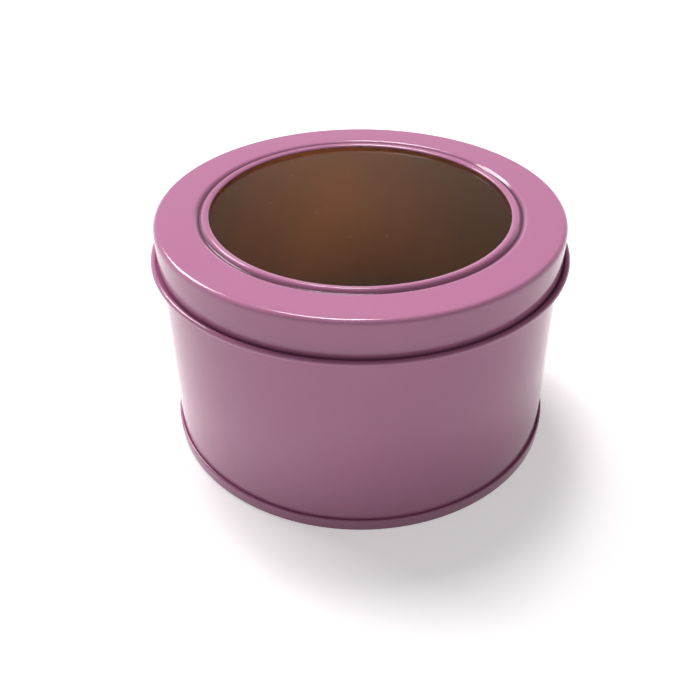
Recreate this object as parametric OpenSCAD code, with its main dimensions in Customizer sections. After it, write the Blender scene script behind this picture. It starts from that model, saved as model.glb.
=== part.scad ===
// Round tinplate tin with a clear window in its lift-off lid.
// The base stands on z = 0 and the tin's axis is the Z axis. All sizes are in millimetres.

/* [Overall] */
// Height of the closed tin, up to the lid's level panel
tin_h = 61; // [45:0.5:110]
// Outside diameter of the body wall
body_d = 101.4; // [84:0.2:130]
// Play between the body wall and the lid's skirt, on each side
lid_play = 0.35; // [0.15:0.05:0.6]
// Gap between the lid's panel and the rolled rim it sits on
seat_gap = 0.1; // [0.05:0.05:0.3]

/* [Tinplate] */
// Thickness of the body and base sheet
body_t = 0.23; // [0.18:0.01:0.28]
// Thickness of the lid sheet
lid_t = 0.25; // [0.18:0.01:0.3]
// Gap between sheets that are pressed together
fold_gap = 0.03; // [0.02:0.01:0.05]

/* [Lid] */
// Height of the lid, from its panel to the underside of its curl
lid_h = 10.5; // [8:0.25:20]
// Outside radius where the panel turns down into the skirt
lid_edge_r = 1.2; // [0.8:0.1:1.6]
// How far the curl stands out from the skirt
curl_out = 1.7; // [1.5:0.05:2.2]
// Height of the curl
curl_h = 1.35; // [1.1:0.05:1.6]

/* [Window] */
// Width of the lid's panel, from the skirt's outside to the window opening
ring_w = 13.5; // [12.5:0.25:18]
// Distance from the window opening to the crest of the bead round it
bead_in = 1.2; // [0.9:0.05:1.5]
// Distance from the crest of the bead to the bottom of the groove
bead_out = 1.3; // [1.1:0.05:1.6]
// Distance from the bottom of the groove to the level panel
groove_out = 1.4; // [1.1:0.05:1.7]
// How far the crest of the bead stands above the panel
bead_rise = 0.15; // [0:0.05:0.3]
// Depth of the groove below the panel
groove_depth = 0.7; // [0.4:0.05:0.85]
// Height of the folded edge at the window opening
hem_h = 1.15; // [1:0.05:1.4]
// Thickness of the clear pane
pane_t = 0.35; // [0.2:0.05:0.6]
// How far the pane's edge lies outside the groove
pane_lap = 0.9; // [0.4:0.1:1.5]

/* [Body] */
// Diameter of the rolled rim at the top of the body
rim_d = 2; // [1.6:0.1:2.4]
// Width of the folded seam up the side of the body
side_seam_w = 3.6; // [2.5:0.1:5]

/* [Base] */
// Height of the seam that joins the base to the body
seam_h = 3.2; // [2.6:0.1:4]
// Width of the flat that the tin stands on, under the seam
foot_w = 0.3; // [0.2:0.05:0.4]
// Height of the base's underside above the table
base_recess = 3.8; // [3:0.1:6]
// Inside radius where the base turns down along the wall
base_corner_r = 0.8; // [0.5:0.1:1.5]
// Distance from the wall to the middle of the base's stiffening bead
base_bead_in = 9; // [6:0.5:14]
// Width of the base's stiffening bead
base_bead_w = 5; // [3:0.5:8]
// Height of the base's stiffening bead
base_bead_h = 0.6; // [0.3:0.1:1]

/* [Hidden] */
$fn = 180;
steps = 8; // straight pieces in a quarter turn

lacquer = "#c582a8";
clear_film = "#d8dcdc66";
bare_tin = "#c9b98c";

// Body wall and its joint with the base, as middles of sheets
wall_r = body_d / 2 - body_t / 2;
layer = body_t + fold_gap;
body_top = tin_h - lid_t - seat_gap;
foot_turn_r = 2 * layer - foot_w / 2;
foot_z = foot_turn_r + body_t / 2;
hook_z = foot_z + foot_w / 2;
seam_top_z = seam_h - layer - body_t / 2;
rim_r = rim_d / 2 - body_t / 2;
rim_z = body_top - rim_d / 2;
side_seam_t = 3 * body_t;
side_line_w = 0.4; // width and depth of the line that the side seam shows outside
side_line_t = 0.1;

// Base
base_z = base_recess + body_t / 2;
chuck_r = wall_r - layer;
corner_r = base_corner_r + body_t / 2;
bead_mid_r = wall_r - base_bead_in;

// Lid
skirt_out = body_d / 2 + lid_play + lid_t;
skirt_r = skirt_out - lid_t / 2;
panel_z = tin_h - lid_t / 2;
edge_r = lid_edge_r - lid_t / 2;
curl_r = (curl_h - lid_t) / 2;
curl_mid_r = skirt_out + curl_out - lid_t / 2 - curl_r;
curl_z = tin_h - lid_h + curl_h / 2;

// Window edge
window_r = skirt_out - ring_w;
crest_r = window_r + bead_in;
groove_r = crest_r + bead_out;
flat_r = groove_r + groove_out;
crest_z = panel_z + bead_rise;
groove_z = panel_z - groove_depth;
hem_r = (hem_h - lid_t) / 2;
hem_z = crest_z - hem_r;
hem_tail = bead_out * 0.4; // length of the folded edge beyond the crest

// Pane and the ring that holds it
under_lid_z = min(crest_z - 2 * hem_r, groove_z) - lid_t / 2;
pane_top = under_lid_z - fold_gap;
pane_r = flat_r + pane_lap;
ring_low_z = pane_top - pane_t - fold_gap - lid_t / 2;
ring_high_z = panel_z - lid_t - fold_gap;
ring_in_r = crest_r + hem_tail + 0.3; // just outside the folded edge
ring_step_r = pane_r + 0.35; // clear of the pane's edge
ring_step_w = 1.3;
ring_out_r = body_d / 2 - rim_d - 0.5; // inside the rolled rim

// Points of an arc about a centre, with its own half width and half height
function arc(centre, half_w, half_h, from, to) =
    let (n = ceil(abs(to - from) / 90 * steps))
    [for (i = [0:n]) let (w = from + (to - from) * i / n)
        centre + [half_w * cos(w), half_h * sin(w)]];

// Points of an S-bend that is level at both ends
function bend(from, to) =
    [for (i = [0:steps]) let (u = i / steps)
        [from[0] + (to[0] - from[0]) * u,
         from[1] + (to[1] - from[1]) * (1 - cos(180 * u)) / 2]];

// Unit normal of the line from a to b, on its left
function left_of(a, b) = [a[1] - b[1], b[0] - a[0]] / norm(b - a);

// A path moved sideways by d, with its corners kept sharp
function beside(path, d) =
    let (last = len(path) - 1)
    [for (i = [0:last])
        let (before = left_of(path[max(i - 1, 0)], path[max(i, 1)]),
             after = left_of(path[min(i, last - 1)], path[min(i + 1, last)]))
        path[i] + d * (before + after) / (1 + before * after)];

// Sheet of one thickness along a path of [radius, height] points, turned round the axis
module turned_sheet(path, thickness) {
    back = beside(path, -thickness / 2);
    rotate_extrude()
        polygon(concat(beside(path, thickness / 2), [for (i = [len(back) - 1:-1:0]) back[i]]));
}

// Lid: folded window edge, bead, groove, level panel, skirt and outward curl
lid_path = concat(
    [[crest_r + hem_tail, hem_z - hem_r]],
    arc([crest_r, hem_z], bead_in - lid_t / 2, hem_r, 270, 90),
    [for (p = bend([crest_r, crest_z], [groove_r, groove_z])) if (p[0] > crest_r) p],
    [for (p = bend([groove_r, groove_z], [flat_r, panel_z])) if (p[0] > groove_r) p],
    arc([skirt_r - edge_r, panel_z - edge_r], edge_r, edge_r, 90, 0),
    arc([curl_mid_r, curl_z], curl_mid_r - skirt_r, curl_r, 180, 270),
    [for (p = arc([curl_mid_r, curl_z], curl_r, curl_r, 270, 540)) if (p[1] > curl_z - curl_r) p]);

// Body: hook into the base's seam, straight wall and rim rolled inward
body_path = concat(
    [[wall_r + 2 * layer, seam_top_z]],
    arc([wall_r + layer, hook_z], layer, layer, 0, -180),
    arc([wall_r - rim_r, rim_z], rim_r, rim_r, 0, 300));

// Base: panel with its bead, wall down to the foot, and the seam folded round the body's hook
base_path = concat(
    [[0, base_z]],
    bend([bead_mid_r - base_bead_w / 2, base_z], [bead_mid_r, base_z + base_bead_h]),
    [for (p = bend([bead_mid_r, base_z + base_bead_h], [bead_mid_r + base_bead_w / 2, base_z]))
        if (p[0] > bead_mid_r) p],
    arc([chuck_r - corner_r, base_z - corner_r], corner_r, corner_r, 90, 0),
    arc([wall_r + layer - foot_w / 2, foot_z], foot_turn_r, foot_turn_r, 180, 270),
    arc([wall_r + layer + foot_w / 2, foot_z], foot_turn_r, foot_turn_r, 270, 360),
    arc([wall_r + 2 * layer, seam_top_z], layer, layer, 0, 180),
    [[wall_r + layer, hook_z]]);

// Ring under the pane, stepped up to lie against the lid's panel
ring_path = concat(
    [[ring_in_r, ring_low_z]],
    bend([ring_step_r, ring_low_z], [ring_step_r + ring_step_w, ring_high_z]),
    [[ring_out_r, ring_high_z]]);

module lid_shell() {
    color(lacquer) turned_sheet(lid_path, lid_t);
}

module window_pane() {
    color(clear_film) translate([0, 0, pane_top - pane_t]) cylinder(r = pane_r, h = pane_t);
}

module retaining_ring() {
    color(bare_tin) turned_sheet(ring_path, lid_t);
}

// Upright strip of a ring, centred on the +X side of the tin
module side_strip(width, inner_r, outer_r, low, high) {
    intersection() {
        translate([0, 0, low]) difference() {
            cylinder(r = outer_r, h = high - low);
            translate([0, 0, -1]) cylinder(r = inner_r, h = high - low + 2);
        }
        translate([0, -width / 2, low - 1]) cube([body_d, width, high - low + 2]);
    }
}

module body_wall() {
    color(lacquer) difference() {
        union() {
            turned_sheet(body_path, body_t);
            side_strip(side_seam_w, wall_r - side_seam_t, wall_r, base_z + 1, rim_z - rim_d);
        }
        side_strip(side_line_w, body_d / 2 - side_line_t, body_d, seam_h + 0.3, rim_z);
    }
}

module base_plate() {
    color(lacquer) turned_sheet(base_path, body_t);
}

lid_shell();
window_pane();
retaining_ring();
body_wall();
base_plate();
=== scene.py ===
import math

import bpy
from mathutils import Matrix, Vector


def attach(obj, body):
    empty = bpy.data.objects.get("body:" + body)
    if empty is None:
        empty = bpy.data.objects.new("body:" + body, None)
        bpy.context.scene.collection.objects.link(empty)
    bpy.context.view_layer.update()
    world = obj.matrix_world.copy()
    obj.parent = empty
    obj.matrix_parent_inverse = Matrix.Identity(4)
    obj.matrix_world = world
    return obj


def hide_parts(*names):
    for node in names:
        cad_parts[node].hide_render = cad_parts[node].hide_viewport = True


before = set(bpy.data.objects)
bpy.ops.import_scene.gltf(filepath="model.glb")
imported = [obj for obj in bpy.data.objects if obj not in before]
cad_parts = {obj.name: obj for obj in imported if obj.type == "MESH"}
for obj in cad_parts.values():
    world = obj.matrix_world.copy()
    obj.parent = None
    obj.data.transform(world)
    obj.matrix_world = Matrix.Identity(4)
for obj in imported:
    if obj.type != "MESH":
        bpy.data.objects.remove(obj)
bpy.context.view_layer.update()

MM = 0.001  # the sizes of the pieces are in millimetres
STEPS = 14  # straight pieces in a quarter turn of a profile
AROUND = 300  # pieces in a full turn of the tin

# Sheets
BODY_T = 0.23
LID_T = 0.25
FOLD_GAP = 0.03

# Body and base
BODY_D = 101.4
TIN_H = 61.0
SEAT_GAP = 0.1
RIM_D = 2.0
SEAM_H = 3.2
FOOT_W = 0.3
BASE_RECESS = 3.8
BASE_CORNER_R = 0.8
BASE_BEAD_IN = 9.0
BASE_BEAD_W = 5.0
BASE_BEAD_H = 0.6
SIDE_SEAM_W = 3.6
SIDE_LINE_W = 0.4
SIDE_LINE_T = 0.1

# Lid and window
LID_PLAY = 0.35
LID_H = 10.5
LID_EDGE_R = 1.2
CURL_OUT = 1.7
CURL_H = 1.35
RING_W = 13.5
BEAD_IN = 1.2
BEAD_OUT = 1.3
GROOVE_OUT = 1.4
BEAD_RISE = 0.15
GROOVE_DEPTH = 0.7
HEM_H = 1.15
PANE_T = 0.35
PANE_LAP = 0.9

# Film: rings of points, bevel at its edge, and how far it hangs and waves in the opening
PANE_RINGS = 24
PANE_BEVEL = 0.05
PANE_HELD = 1.5  # from the opening to the film's last flat ring
PANE_SAG = 0.22
WAVE_TWO = 0.25  # share of the sag in two waves round the film
WAVE_TWO_START = 0.6
WAVE_THREE = 0.12  # share of the sag in three waves round the film
WAVE_THREE_TWIST = 9

# Middles of the sheets, worked out as the solids are
WALL_R = BODY_D / 2 - BODY_T / 2
LAYER = BODY_T + FOLD_GAP
BODY_TOP = TIN_H - LID_T - SEAT_GAP
FOOT_TURN_R = 2 * LAYER - FOOT_W / 2
FOOT_Z = FOOT_TURN_R + BODY_T / 2
HOOK_Z = FOOT_Z + FOOT_W / 2
SEAM_TOP_Z = SEAM_H - LAYER - BODY_T / 2
RIM_R = RIM_D / 2 - BODY_T / 2
RIM_Z = BODY_TOP - RIM_D / 2
BASE_Z = BASE_RECESS + BODY_T / 2
CHUCK_R = WALL_R - LAYER
CORNER_R = BASE_CORNER_R + BODY_T / 2
BEAD_MID_R = WALL_R - BASE_BEAD_IN

SKIRT_OUT = BODY_D / 2 + LID_PLAY + LID_T
SKIRT_R = SKIRT_OUT - LID_T / 2
PANEL_Z = TIN_H - LID_T / 2
EDGE_R = LID_EDGE_R - LID_T / 2
CURL_R = (CURL_H - LID_T) / 2
CURL_MID_R = SKIRT_OUT + CURL_OUT - LID_T / 2 - CURL_R
CURL_Z = TIN_H - LID_H + CURL_H / 2

WINDOW_R = SKIRT_OUT - RING_W
CREST_R = WINDOW_R + BEAD_IN
GROOVE_R = CREST_R + BEAD_OUT
FLAT_R = GROOVE_R + GROOVE_OUT
CREST_Z = PANEL_Z + BEAD_RISE
GROOVE_Z = PANEL_Z - GROOVE_DEPTH
HEM_R = (HEM_H - LID_T) / 2
HEM_Z = CREST_Z - HEM_R
HEM_TAIL = BEAD_OUT * 0.4
PANE_TOP = min(CREST_Z - 2 * HEM_R, GROOVE_Z) - LID_T / 2 - FOLD_GAP
PANE_R = FLAT_R + PANE_LAP
RING_LOW_Z = PANE_TOP - PANE_T - FOLD_GAP - LID_T / 2
RING_HIGH_Z = PANEL_Z - LID_T - FOLD_GAP
RING_IN_R = CREST_R + HEM_TAIL + 0.3
RING_STEP_R = PANE_R + 0.35
RING_STEP_W = 1.3
RING_OUT_R = BODY_D / 2 - RIM_D - 0.5

# Side seam: a band of folded sheet inside, and the line that it shows outside
BAND_LOW = BASE_Z + 1
BAND_HIGH = RIM_Z - RIM_D
BAND_EDGE = 0.25  # width over which the band falls away at its sides and ends
BAND_PAST = 0.05  # how far the slopes at its ends run past it
BAND_STOPS = 16
BAND_COLUMNS = (-0.9, -0.25, -0.17, -0.08, 0.0, 0.3)  # from the band's side outward
LINE_LOW = SEAM_H + 0.3
LINE_HIGH = RIM_Z - RIM_D
LINE_DEPTH = 0.9 * SIDE_LINE_T
LINE_FLOOR = 0.35  # flat share of the line's half width
LINE_COLUMNS = (LINE_FLOOR, 0.6, 0.8, 1.0, 1.4)  # as shares of the line's half width
LINE_START = 0.2  # height over which the line deepens at its foot
LINE_END = 0.4  # height over which the line runs out at its top

# Camera, from a pinhole fitted to the photograph's outlines
CAMERA_AT = (0.0, -0.18465, 0.15476)
CAMERA_DOWN = 33.05  # degrees
CAMERA_SENSOR = 36.0  # millimetres, as the lens is
CAMERA_LENS = 42.07
CAMERA_SHIFT = (-0.0148, -0.0822)
CAMERA_NEAR = 0.01

# Colours, as linear red, green and blue
PINK = (0.545, 0.215, 0.372)
GOLD = (0.57, 0.35, 0.16)
BARE_TIN = (0.62, 0.55, 0.42)
FILM = (0.93, 0.92, 0.9)
FLOOR = (0.84, 0.8, 0.81)
WHITE = (1.0, 1.0, 1.0)

NOISE_RANGE = (0.3, 0.7)  # the middle of a noise's range, where most of its values lie

# Pink lacquer: noises by how often they repeat in a metre, with their shades and depths
PINK_IOR = 1.5
PINK_ROUGHNESS = (0.09, 0.14)
CLOUDS = 28
CLOUD_SHADES = (0.975, 1.02)
FLECKS = 2600
FLECK_RANGE = (0.35, 0.65)
FLECK_SHADES = (0.965, 1.03)
FLECK_SHARE = 0.4
MARKS = 45
DENTS = 22
DENT_DEPTH = 0.0006
DENT_STRENGTH = 0.35
PEEL = 900
PEEL_DEPTH = 0.000012
PEEL_STRENGTH = 0.6
# Painted shade: the lacquer's colour darkened along the bottom of the lid's groove, where shade
# falls, with its darkness, reach and heights
GROOVE_PAINTED_SHADE = 0.15
GROOVE_SHADE_REACH = 0.9  # millimetres from the bottom of the lid's groove
GROOVE_SHADE_LOW = TIN_H - 2
GROOVE_SHADE_FULL = TIN_H - 1.9

# Lacquered and bare metal inside, with rolling lines along X
GOLD_ROUGHNESS = 0.52
TIN_ROUGHNESS = 0.3
METAL_COAT = 0.25
METAL_COAT_ROUGHNESS = 0.2
METAL_CLOUDS = 45
METAL_SHADES = (0.9, 1.05)
ROLL_LINES = 120
ROLL_STRETCH = (1, 26, 26)
ROLL_RANGE = (0.25, 0.75)
ROLL_ROUGHNESS = (-0.06, 0.08)
ROLL_DEPTH = 0.00002
ROLL_STRENGTH = 0.5

# Film's surface
FILM_IOR = 1.45
HAZE = 40
HAZE_RANGE = (0.4, 0.75)
HAZE_ROUGHNESS = (0.03, 0.07)
DUST = 190
DUST_SIZE = 0.05  # as a share of the space between specks
DUST_ROUGHNESS = 0.5
RIPPLE = 16
RIPPLE_DEPTH = 0.0008
RIPPLE_STRENGTH = 0.25

# Floor: half its width, and its glow near the tin and far from it, with distances in metres
FLOOR_HALF = 2.5
FLOOR_GLOW = 0.45
FLOOR_GLOW_FAR = 0.95
FLOOR_GLOW_FROM = 0.25
FLOOR_GLOW_TO = 0.9

# World's brightness at heights above the horizon, as the sine of the angle
SKY = [(-1.0, 0.4), (0.0, 0.42), (0.15, 0.37), (0.36, 0.26), (0.5, 0.13), (0.8, 0.1), (1.0, 0.14)]
# Reflections see the world white up to the first of these heights, and dim from the second
BACKDROP_TOP = (0.15, 0.3)

# Lamps: direction from the tin, distance and size in metres, and power in watts
LAMPS = {
    "key_lamp": ((-0.54, 0.5, 0.68), 1.5, (0.75, 0.42), 12.0),
    "top_lamp": ((-0.1, 0.33, 0.94), 1.5, (0.45, 0.45), 14.6),
}

OUTSIDE, INSIDE = 0, 1  # material slots of a lacquered piece


def arc(centre, half_w, half_h, start, end):
    """Points of an arc about a centre, with its own half width and half height."""
    count = math.ceil(abs(end - start) / 90 * STEPS)
    turns = [math.radians(start + (end - start) * i / count) for i in range(count + 1)]
    return [(centre[0] + half_w * math.cos(w), centre[1] + half_h * math.sin(w)) for w in turns]


def bend(start, end):
    """Points of an S-bend that is level at both ends."""
    shares = [i / STEPS for i in range(STEPS + 1)]
    return [(start[0] + (end[0] - start[0]) * u,
             start[1] + (end[1] - start[1]) * (1 - math.cos(math.pi * u)) / 2) for u in shares]


def straight(start, end, count):
    """Points between two ends of a straight stretch, without the ends."""
    return [(start[0] + (end[0] - start[0]) * i / count,
             start[1] + (end[1] - start[1]) * i / count) for i in range(1, count)]


def tidy(path):
    """The path without points that lie on each other."""
    kept = [path[0]]
    for point in path[1:]:
        if math.dist(point, kept[-1]) > 1e-6:
            kept.append(point)
    return kept


def beside(path, distance):
    """The path moved to its left by a distance, with its corners kept."""
    normals = []
    for a, b in zip(path, path[1:]):
        length = math.dist(a, b)
        normals.append(((a[1] - b[1]) / length, (b[0] - a[0]) / length))
    moved = []
    for i, point in enumerate(path):
        before = normals[max(i - 1, 0)]
        after = normals[min(i, len(normals) - 1)]
        share = distance / (1 + before[0] * after[0] + before[1] * after[1])
        moved.append((point[0] + share * (before[0] + after[0]),
                      point[1] + share * (before[1] + after[1])))
    return moved


def smooth_step(value, low, high):
    """0 up to low, 1 from high, and a smooth rise between them."""
    share = min(max((value - low) / (high - low), 0.0), 1.0)
    return share * share * (3 - 2 * share)


def turn_angles(fine=()):
    """Angles of a full turn, with extra ones near +X at the arc lengths in fine."""
    step = 2 * math.pi / AROUND
    angles = [i * step for i in range(AROUND)]
    if fine:
        reach = max(fine) / WALL_R
        angles = [a for a in angles if min(a, 2 * math.pi - a) > reach + step / 4]
        for offset in fine:
            angles += [(offset / WALL_R) % (2 * math.pi), (-offset / WALL_R) % (2 * math.pi)]
        angles.append(0.0)
    return sorted(set(angles))


def ring_points(index, radius, height, angles, shape):
    """Points of one ring in metres, or a single point where the radius is 0."""
    if radius < 1e-6:
        return [(0.0, 0.0, height * MM)]
    points = []
    for angle in angles:
        r, z = shape(index, radius, height, angle) if shape else (radius, height)
        points.append((r * math.cos(angle) * MM, r * math.sin(angle) * MM, z * MM))
    return points


def ring_faces(ring, other, count):
    """Faces between two rings, either of which may be a single point."""
    if len(ring) == 1 and len(other) == 1:
        return []
    faces = []
    for k in range(count):
        n = (k + 1) % count
        if len(ring) == 1:
            faces.append((ring[0], other[k], other[n]))
        elif len(other) == 1:
            faces.append((ring[n], ring[k], other[0]))
        else:
            faces.append((ring[n], ring[k], other[k], other[n]))
    return faces


def lathe(name, section, coats, sharp=(), angles=None, shape=None):
    """Mesh of a closed section of (radius, height) points turned round Z.

    coats gives the material slot of the stretch that starts at each point, sharp the points
    with a hard edge, and shape moves a point: shape(index, radius, height, angle).
    """
    angles = angles or turn_angles()
    verts = []
    rings = []
    for i, (radius, height) in enumerate(section):
        points = ring_points(i, radius, height, angles, shape)
        rings.append(range(len(verts), len(verts) + len(points)))
        verts += points
    faces = []
    slots = []
    for i, ring in enumerate(rings):
        band = ring_faces(ring, rings[(i + 1) % len(rings)], len(angles))
        faces += band
        slots += [coats[i]] * len(band)
    mesh = bpy.data.meshes.new(name)
    mesh.from_pydata(verts, [], faces)
    mesh.polygons.foreach_set("material_index", slots)
    mesh.polygons.foreach_set("use_smooth", [True] * len(faces))
    hard = {v for i in sharp for v in rings[i]}
    for edge in mesh.edges:
        a, b = edge.vertices
        edge.use_edge_sharp = a in hard and b in hard and abs(verts[a][2] - verts[b][2]) < 1e-7
    mesh.update()
    piece = bpy.data.objects.new(name, mesh)
    bpy.context.scene.collection.objects.link(piece)
    return piece


def turned_sheet(name, path, thickness, left_coat, right_coat, angles=None, shape=None):
    """Sheet of one thickness along a path turned round Z.

    Each coat is a function of (radius, height), and shape moves a point of one side:
    shape(on_the_left, radius, height, angle).
    """
    path = tidy(path)
    left = beside(path, thickness / 2)
    right = beside(path, -thickness / 2)[::-1]
    section = left + right
    coats = []
    for i, a in enumerate(section):
        b = section[(i + 1) % len(section)]
        middle = ((a[0] + b[0]) / 2, (a[1] + b[1]) / 2)
        coats.append(left_coat(*middle) if i < len(left) else right_coat(*middle))
    corners = (0, len(left) - 1, len(left), len(section) - 1)

    def side(i, r, z, angle):
        return shape(i < len(left), r, z, angle)

    return lathe(name, section, coats, corners, angles, side if shape else None)


def outer_coat(r, z):
    return OUTSIDE


def inner_coat(r, z):
    return INSIDE


def lid_coat(r, z):
    """Coat of the lid's inner side: the curl shows the outer one."""
    return OUTSIDE if z < CURL_Z or r > SKIRT_OUT else INSIDE


def lid_shell():
    path = [(CREST_R + HEM_TAIL, HEM_Z - HEM_R)]
    path += arc((CREST_R, HEM_Z), BEAD_IN - LID_T / 2, HEM_R, 270, 90)
    path += bend((CREST_R, CREST_Z), (GROOVE_R, GROOVE_Z))
    path += bend((GROOVE_R, GROOVE_Z), (FLAT_R, PANEL_Z))
    path += straight((FLAT_R, PANEL_Z), (SKIRT_R - EDGE_R, PANEL_Z), 6)
    path += arc((SKIRT_R - EDGE_R, PANEL_Z - EDGE_R), EDGE_R, EDGE_R, 90, 0)
    path += straight((SKIRT_R, PANEL_Z - EDGE_R), (SKIRT_R, CURL_Z), 6)
    path += arc((CURL_MID_R, CURL_Z), CURL_MID_R - SKIRT_R, CURL_R, 180, 270)
    path += arc((CURL_MID_R, CURL_Z), CURL_R, CURL_R, 270, 540)
    return turned_sheet("lid_shell_lacquered", path, LID_T, outer_coat, lid_coat)


def band_depth(z, away):
    """How far the side seam's band stands in from the wall, at an arc length from its middle."""
    half = SIDE_SEAM_W / 2
    ends = smooth_step(z, BAND_LOW - BAND_PAST, BAND_LOW + BAND_EDGE)
    ends *= 1 - smooth_step(z, BAND_HIGH - BAND_EDGE, BAND_HIGH + BAND_PAST)
    return 2 * BODY_T * ends * (1 - smooth_step(away, half - BAND_EDGE, half))


def line_depth(z, away):
    """How deep the side seam's line lies in the wall, at an arc length from its middle."""
    half = SIDE_LINE_W / 2
    ends = smooth_step(z, LINE_LOW - LINE_START, LINE_LOW)
    ends *= 1 - smooth_step(z, LINE_HIGH, LINE_HIGH + LINE_END)
    return LINE_DEPTH * ends * (1 - smooth_step(away, half * LINE_FLOOR, half))


def seamed(inner, r, z, angle):
    """A point of the wall, moved by the side seam."""
    away = min(angle, 2 * math.pi - angle) * WALL_R
    return r - (band_depth(z, away) if inner else line_depth(z, away)), z


def body_wall():
    """The wall. Its rings lie closer where the side seam's band and line begin and end."""
    stops = [HOOK_Z, LINE_LOW - LINE_START, LINE_LOW, BAND_LOW - 0.2, BAND_LOW, BAND_LOW + 0.3]
    band = BAND_HIGH - BAND_LOW
    stops += [BAND_LOW + band * i / BAND_STOPS for i in range(1, BAND_STOPS)]
    stops += [BAND_HIGH - 0.3, BAND_HIGH, LINE_HIGH + LINE_END]
    path = [(WALL_R + 2 * LAYER, SEAM_TOP_Z)]
    path += arc((WALL_R + LAYER, HOOK_Z), LAYER, LAYER, 0, -180)
    path += [(WALL_R, z) for z in stops]
    path += arc((WALL_R - RIM_R, RIM_Z), RIM_R, RIM_R, 0, 300)
    fine = [SIDE_LINE_W / 2 * share for share in LINE_COLUMNS]
    fine += [SIDE_SEAM_W / 2 + step for step in BAND_COLUMNS]
    return turned_sheet("body_wall_lacquered", path, BODY_T, inner_coat, outer_coat,
                        turn_angles(fine), seamed)


def base_plate():
    bead_in, bead_out = BEAD_MID_R - BASE_BEAD_W / 2, BEAD_MID_R + BASE_BEAD_W / 2
    path = [(0.0, BASE_Z)]
    path += straight((0.0, BASE_Z), (bead_in, BASE_Z), 8)
    path += bend((bead_in, BASE_Z), (BEAD_MID_R, BASE_Z + BASE_BEAD_H))
    path += bend((BEAD_MID_R, BASE_Z + BASE_BEAD_H), (bead_out, BASE_Z))
    path += arc((CHUCK_R - CORNER_R, BASE_Z - CORNER_R), CORNER_R, CORNER_R, 90, 0)
    path += arc((WALL_R + LAYER - FOOT_W / 2, FOOT_Z), FOOT_TURN_R, FOOT_TURN_R, 180, 270)
    path += arc((WALL_R + LAYER + FOOT_W / 2, FOOT_Z), FOOT_TURN_R, FOOT_TURN_R, 270, 360)
    path += arc((WALL_R + 2 * LAYER, SEAM_TOP_Z), LAYER, LAYER, 0, 180)
    path += [(WALL_R + LAYER, HOOK_Z)]
    return turned_sheet("base_plate_lacquered", path, BODY_T, inner_coat, outer_coat)


def retaining_ring():
    """The ring under the film. It has one coat, in its first slot."""
    path = [(RING_IN_R, RING_LOW_Z)]
    path += bend((RING_STEP_R, RING_LOW_Z), (RING_STEP_R + RING_STEP_W, RING_HIGH_Z))
    path += [(RING_OUT_R, RING_HIGH_Z)]
    return turned_sheet("retaining_ring_tinned", path, LID_T, outer_coat, outer_coat)


def slack(index, r, z, angle):
    """A point of the film, moved by its sag and waves. Outside the opening it stays flat."""
    share = (r / WINDOW_R) ** 2
    two = WAVE_TWO * math.sin(2 * angle + WAVE_TWO_START)
    three = WAVE_THREE * math.sin(3 * angle + r / WAVE_THREE_TWIST)
    return r, z - PANE_SAG * max(0.0, 1 - share) * (1 + share * (two + three))


def window_pane():
    """The film: flat where it is held, and slightly slack and wavy inside the opening."""
    radii = [WINDOW_R * i / PANE_RINGS for i in range(PANE_RINGS + 1)]
    radii += [WINDOW_R + PANE_HELD, PANE_R - PANE_BEVEL]
    low_z = PANE_TOP - PANE_T
    section = [(r, PANE_TOP) for r in radii] + [(PANE_R, PANE_TOP - PANE_BEVEL)]
    section += [(PANE_R, low_z + PANE_BEVEL)] + [(r, low_z) for r in radii[::-1]]
    return lathe("window_film", section, [0] * len(section), shape=slack)


class Nodes:
    """Short calls for building a node tree."""

    def __init__(self, tree):
        self.tree = tree

    def add(self, kind, **values):
        node = self.tree.nodes.new(kind)
        for key, value in values.items():
            setattr(node, key, value)
        return node

    def link(self, source, target):
        self.tree.links.new(source, target)

    def calc(self, operation, *values, clamp=False):
        """Result of a sum on plain numbers and sockets."""
        node = self.add("ShaderNodeMath", operation=operation, use_clamp=clamp)
        for socket, value in zip(node.inputs, values):
            if isinstance(value, float):
                socket.default_value = value
            else:
                self.link(value, socket)
        return node.outputs[0]

    def spread(self, source, low, high, to_low, to_high):
        """The source's range from low to high, as one from to_low to to_high."""
        node = self.add("ShaderNodeMapRange")
        names = ("From Min", "From Max", "To Min", "To Max")
        for name, value in zip(names, (low, high, to_low, to_high)):
            node.inputs[name].default_value = value
        self.link(source, node.inputs["Value"])
        return node.outputs["Result"]

    def any_ray(self, *names):
        """1 on rays of any of the kinds named, and 0 on the others."""
        path = self.add("ShaderNodeLightPath")
        found = path.outputs[names[0]]
        for name in names[1:]:
            found = self.calc("MAXIMUM", found, path.outputs[name])
        return found


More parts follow.
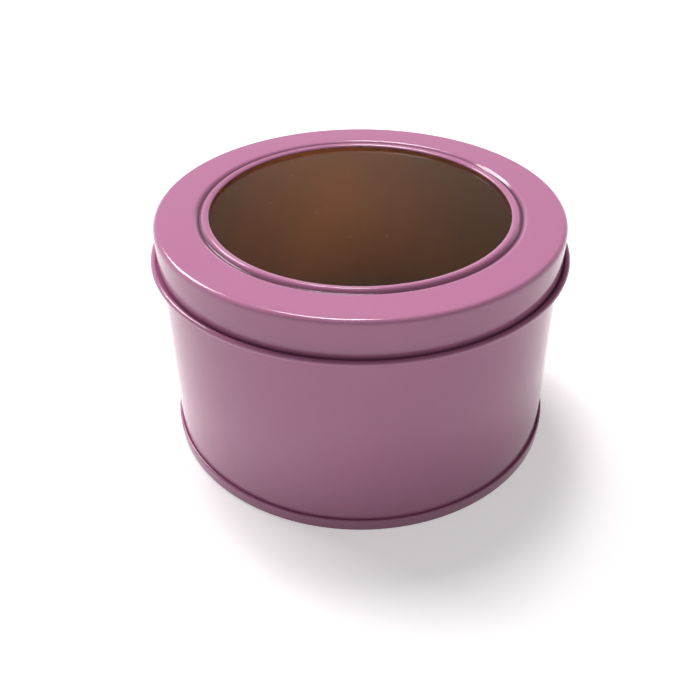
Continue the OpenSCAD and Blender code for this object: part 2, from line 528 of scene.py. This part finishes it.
class Paint(Nodes):
    """A new material with a Principled shader, and short calls for its node tree."""

    def __init__(self, name):
        self.material = bpy.data.materials.new(name)
        self.material.use_nodes = True
        super().__init__(self.material.node_tree)
        self.shader = self.tree.nodes["Principled BSDF"]
        self.place = self.add("ShaderNodeTexCoord").outputs["Object"]

    def set(self, **values):
        """Plain values on the shader's own sockets; words are joined by one underscore."""
        for key, value in values.items():
            self.shader.inputs[key.replace("_", " ")].default_value = value

    def feed(self, name, source):
        """Links a source to one of the shader's own sockets."""
        self.link(source, self.shader.inputs[name])

    def noise(self, scale, detail=3.0, stretch=(1, 1, 1), rough=0.5):
        """Noise with scale repeats a metre, stretched along the axes."""
        placed = self.add("ShaderNodeMapping")
        placed.inputs["Scale"].default_value = stretch
        self.link(self.place, placed.inputs["Vector"])
        node = self.add("ShaderNodeTexNoise")
        node.inputs["Scale"].default_value = scale
        node.inputs["Detail"].default_value = detail
        node.inputs["Roughness"].default_value = rough
        self.link(placed.outputs["Vector"], node.inputs["Vector"])
        return node.outputs["Fac"]

    def between(self, share, first, second):
        """A colour between two, each a plain colour or a socket."""
        node = self.add("ShaderNodeMix", data_type="RGBA")
        if isinstance(share, float):
            node.inputs[0].default_value = share
        else:
            self.link(share, node.inputs[0])
        for socket, colour in ((node.inputs[6], first), (node.inputs[7], second)):
            if isinstance(colour, tuple):
                socket.default_value = (*colour, 1.0)
            else:
                self.link(colour, socket)
        return node.outputs[2]

    def shaded(self, share, colour, shades):
        """A colour that runs between two shades of itself."""
        return self.between(share, scaled(colour, shades[0]), scaled(colour, shades[1]))

    def bump(self, height, distance, strength=1.0, below=None):
        node = self.add("ShaderNodeBump")
        node.inputs["Distance"].default_value = distance
        node.inputs["Strength"].default_value = strength
        self.link(height, node.inputs["Height"])
        if below is not None:
            self.link(below, node.inputs["Normal"])
        return node.outputs["Normal"]


def scaled(colour, share):
    return tuple(c * share for c in colour)


def painted_groove_shade_share(n):
    """Share of painted shade: 1 along the bottom of the lid's groove, where shade falls, and 0
    elsewhere.
    """
    parts = n.add("ShaderNodeSeparateXYZ")
    n.link(n.place, parts.inputs[0])
    flat = n.add("ShaderNodeCombineXYZ")
    n.link(parts.outputs["X"], flat.inputs["X"])
    n.link(parts.outputs["Y"], flat.inputs["Y"])
    radius = n.add("ShaderNodeVectorMath", operation="LENGTH")
    n.link(flat.outputs[0], radius.inputs[0])
    away = n.calc("ABSOLUTE", n.calc("SUBTRACT", radius.outputs["Value"], GROOVE_R * MM))
    near = n.spread(away, 0.0, GROOVE_SHADE_REACH * MM, 1.0, 0.0)
    high = n.spread(parts.outputs["Z"], GROOVE_SHADE_LOW * MM, GROOVE_SHADE_FULL * MM, 0.0, 1.0)
    return n.calc("MULTIPLY", near, high)


def pink_lacquer():
    """Smooth glossy lacquer with orange peel, slight clouding, faint handling marks, and painted
    shade along the lid's groove.
    """
    n = Paint("pink_lacquer")
    n.set(IOR=PINK_IOR)
    clouds = n.spread(n.noise(CLOUDS, 4), *NOISE_RANGE, 0.0, 1.0)
    flecks = n.spread(n.noise(FLECKS, 2), *FLECK_RANGE, 0.0, 1.0)
    tone = n.shaded(clouds, PINK, CLOUD_SHADES)
    grain = n.shaded(flecks, PINK, FLECK_SHADES)
    mixed = n.between(FLECK_SHARE, tone, grain)
    # Painted shade darkens the colour along the bottom of the lid's groove.
    n.feed("Base Color", n.between(painted_groove_shade_share(n), mixed, scaled(PINK, GROOVE_PAINTED_SHADE)))
    n.feed("Roughness", n.spread(n.noise(MARKS, 2), *NOISE_RANGE, *PINK_ROUGHNESS))
    dents = n.bump(n.noise(DENTS, 1), DENT_DEPTH, DENT_STRENGTH)
    n.feed("Normal", n.bump(n.noise(PEEL, 2), PEEL_DEPTH, PEEL_STRENGTH, dents))
    return n.material


def rolled_metal(name, colour, roughness):
    """Tinplate, bare or under clear gold lacquer, with the rolling lines of the sheet."""
    n = Paint(name)
    n.set(Metallic=1.0, Coat_Weight=METAL_COAT, Coat_Roughness=METAL_COAT_ROUGHNESS)
    lines = n.noise(ROLL_LINES, 4, ROLL_STRETCH, 0.6)
    clouds = n.spread(n.noise(METAL_CLOUDS, 4), *NOISE_RANGE, 0.0, 1.0)
    n.feed("Base Color", n.shaded(clouds, colour, METAL_SHADES))
    smooth, rough = (roughness + change for change in ROLL_ROUGHNESS)
    n.feed("Roughness", n.spread(lines, *ROLL_RANGE, smooth, rough))
    n.feed("Normal", n.bump(lines, ROLL_DEPTH, ROLL_STRENGTH))
    return n.material


def clear_film():
    """Clear plastic film with a slow ripple, faint haze and a few specks of dust."""
    n = Paint("clear_film")
    n.set(Base_Color=(*FILM, 1.0), Transmission_Weight=1.0, IOR=FILM_IOR)
    haze = n.spread(n.noise(HAZE, 5), *HAZE_RANGE, *HAZE_ROUGHNESS)
    specks = n.add("ShaderNodeTexVoronoi")
    specks.inputs["Scale"].default_value = DUST
    n.link(n.place, specks.inputs["Vector"])
    dust = n.spread(specks.outputs["Distance"], 0.0, DUST_SIZE, DUST_ROUGHNESS, 0.0)
    n.feed("Roughness", n.calc("ADD", haze, dust, clamp=True))
    n.feed("Normal", n.bump(n.noise(RIPPLE, 1), RIPPLE_DEPTH, RIPPLE_STRENGTH))
    return n.material


def bare_nodes(owner):
    """The emptied node tree of a material or world."""
    owner.use_nodes = True
    owner.node_tree.nodes.clear()
    return Nodes(owner.node_tree)


def floor_material():
    """Pale floor that shows white, and still takes the tin's shadow."""
    material = bpy.data.materials.new("studio_floor")
    n = bare_nodes(material)
    diffuse = n.add("ShaderNodeBsdfDiffuse")
    diffuse.inputs["Color"].default_value = (*FLOOR, 1.0)
    away = n.add("ShaderNodeVectorMath", operation="LENGTH")
    n.link(n.add("ShaderNodeTexCoord").outputs["Object"], away.inputs[0])
    level = n.spread(away.outputs["Value"], FLOOR_GLOW_FROM, FLOOR_GLOW_TO,
                     FLOOR_GLOW, FLOOR_GLOW_FAR)
    seen = n.any_ray("Is Camera Ray", "Is Glossy Ray", "Is Transmission Ray")
    glow = n.add("ShaderNodeEmission")
    glow.inputs["Color"].default_value = (*WHITE, 1.0)
    n.link(n.calc("MULTIPLY", seen, level), glow.inputs["Strength"])
    both = n.add("ShaderNodeAddShader")
    n.link(diffuse.outputs[0], both.inputs[0])
    n.link(glow.outputs[0], both.inputs[1])
    n.link(both.outputs[0], n.add("ShaderNodeOutputMaterial").inputs["Surface"])
    return material


def studio_floor():
    mesh = bpy.data.meshes.new("studio_floor")
    corners = [(-FLOOR_HALF, -FLOOR_HALF, 0.0), (FLOOR_HALF, -FLOOR_HALF, 0.0),
               (FLOOR_HALF, FLOOR_HALF, 0.0), (-FLOOR_HALF, FLOOR_HALF, 0.0)]
    mesh.from_pydata(corners, [], [(0, 1, 2, 3)])
    floor = bpy.data.objects.new("studio_floor", mesh)
    bpy.context.scene.collection.objects.link(floor)
    mesh.materials.append(floor_material())


def white_share(n, height):
    """Where the world is white: for the camera all over, and low down for reflections."""
    low = n.spread(height, *BACKDROP_TOP, 1.0, 0.0)
    backdrop = n.calc("MULTIPLY", n.any_ray("Is Glossy Ray", "Is Transmission Ray"), low)
    return n.calc("MAXIMUM", n.any_ray("Is Camera Ray"), backdrop)


def studio_world():
    """Soft surroundings: paler near the horizon and dim overhead, behind a white backdrop."""
    world = bpy.data.worlds.new("studio")
    bpy.context.scene.world = world
    n = bare_nodes(world)
    parts = n.add("ShaderNodeSeparateXYZ")
    n.link(n.add("ShaderNodeTexCoord").outputs["Generated"], parts.inputs[0])
    height = parts.outputs["Z"]
    ramp = n.add("ShaderNodeValToRGB")
    stops = ramp.color_ramp.elements
    while len(stops) < len(SKY):
        stops.new(0.5)
    for stop, (sine, level) in zip(stops, SKY):
        stop.position = (sine + 1) / 2
        stop.color = (level, level, level, 1.0)
    n.link(n.spread(height, -1.0, 1.0, 0.0, 1.0), ramp.inputs["Fac"])
    soft = n.add("ShaderNodeBackground")
    n.link(ramp.outputs["Color"], soft.inputs["Color"])
    white = n.add("ShaderNodeBackground")
    white.inputs["Color"].default_value = (*WHITE, 1.0)
    mixed = n.add("ShaderNodeMixShader")
    n.link(white_share(n, height), mixed.inputs[0])
    n.link(soft.outputs[0], mixed.inputs[1])
    n.link(white.outputs[0], mixed.inputs[2])
    n.link(mixed.outputs[0], n.add("ShaderNodeOutputWorld").inputs["Surface"])


def lamp(name, direction, distance, size, power):
    """Soft lamp in a direction from the tin, aimed at it."""
    data = bpy.data.lights.new(name, "AREA")
    data.shape = "RECTANGLE"
    data.size, data.size_y = size
    data.energy = power
    light = bpy.data.objects.new(name, data)
    bpy.context.scene.collection.objects.link(light)
    light.location = Vector(direction).normalized() * distance
    light.rotation_euler = Vector(direction).to_track_quat("Z", "Y").to_euler()
    light.visible_camera = False


def camera():
    data = bpy.data.cameras.new("camera")
    data.sensor_width = CAMERA_SENSOR
    data.lens = CAMERA_LENS
    data.shift_x, data.shift_y = CAMERA_SHIFT
    data.clip_start = CAMERA_NEAR
    view = bpy.data.objects.new("camera", data)
    bpy.context.scene.collection.objects.link(view)
    view.location = CAMERA_AT
    view.rotation_euler = (math.radians(90 - CAMERA_DOWN), 0.0, 0.0)
    bpy.context.scene.camera = view


def place_piece(piece, materials, body, node):
    """Gives a piece its materials, and puts it in its node's place on its body."""
    for material in materials:
        piece.data.materials.append(material)
    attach(piece, body)
    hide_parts(node)


pink = pink_lacquer()
gold = rolled_metal("gold_lacquer", GOLD, GOLD_ROUGHNESS)
tinned = rolled_metal("bare_tin", BARE_TIN, TIN_ROUGHNESS)

place_piece(lid_shell(), (pink, gold), "lid", "lid_shell")
place_piece(body_wall(), (pink, gold), "tin_body", "body_wall")
place_piece(base_plate(), (pink, gold), "tin_body", "base_plate")
place_piece(retaining_ring(), (tinned,), "lid", "retaining_ring")
film = window_pane()
film.visible_shadow = False
place_piece(film, (clear_film(),), "lid", "window_pane")

studio_floor()
studio_world()
for name, values in LAMPS.items():
    lamp(name, *values)
camera()
bpy.context.scene.view_settings.view_transform = "Standard"
